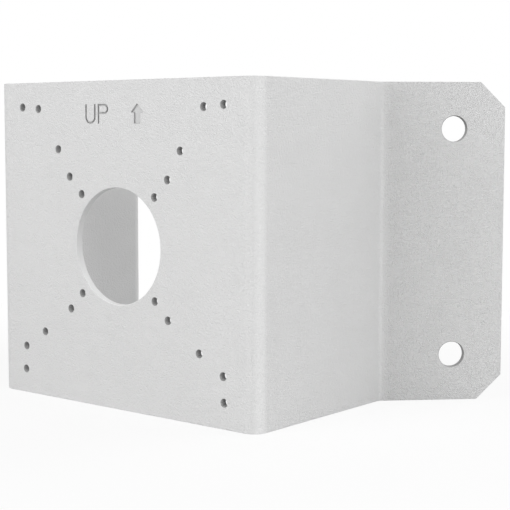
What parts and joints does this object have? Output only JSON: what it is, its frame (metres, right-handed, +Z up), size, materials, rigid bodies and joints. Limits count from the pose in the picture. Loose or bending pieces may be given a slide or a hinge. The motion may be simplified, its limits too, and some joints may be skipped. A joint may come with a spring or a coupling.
{
  "type": "camera corner mount bracket",
  "caption": "Steel sheet folded into a hat section with a drilled front plate, two webs and two slanted wings, to hold a security camera on the outside corner of a building.",
  "frame": {"origin": "middle of the plate's front face, on the axis of the cable hole", "axes": "+Z up, +Y from the plate back towards the building, +X to the right of someone facing the plate"},
  "size_m": [0.2452, 0.1359, 0.15],
  "materials": {
    "powder_coat": "light grey-white powder coat with a fine leather texture"
  },
  "bodies": {
    "root": {"corner_bracket": "powder_coat"}
  },
  "joints": []
}
